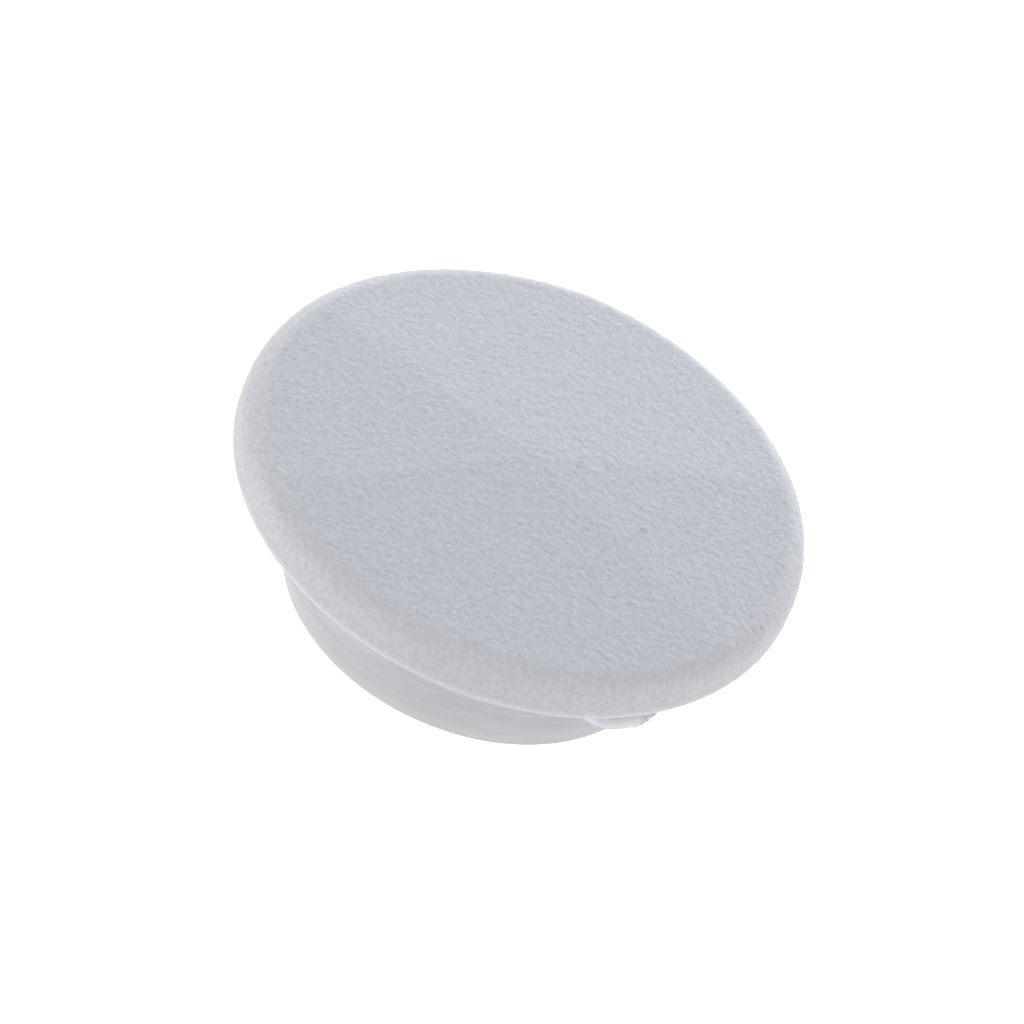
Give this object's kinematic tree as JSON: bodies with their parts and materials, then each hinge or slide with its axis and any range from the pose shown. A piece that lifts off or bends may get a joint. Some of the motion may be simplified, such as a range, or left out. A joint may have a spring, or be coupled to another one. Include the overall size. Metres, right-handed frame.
{
  "type": "hole plug",
  "caption": "Round push-in hole plug with a wide, slightly coned head and a hollow press-fit skirt that closes a hole in a panel.",
  "frame": {"origin": "centre of the seat, the flat underside of the head", "axes": "+Z out of the panel through the head, -Z down the skirt into the hole"},
  "size_m": [0.018, 0.018, 0.0063],
  "materials": {
    "plug_plastic": "fine spark-eroded mould texture on the head, smooth skirt"
  },
  "bodies": {
    "root": {"hole_plug": "plug_plastic"}
  },
  "joints": []
}
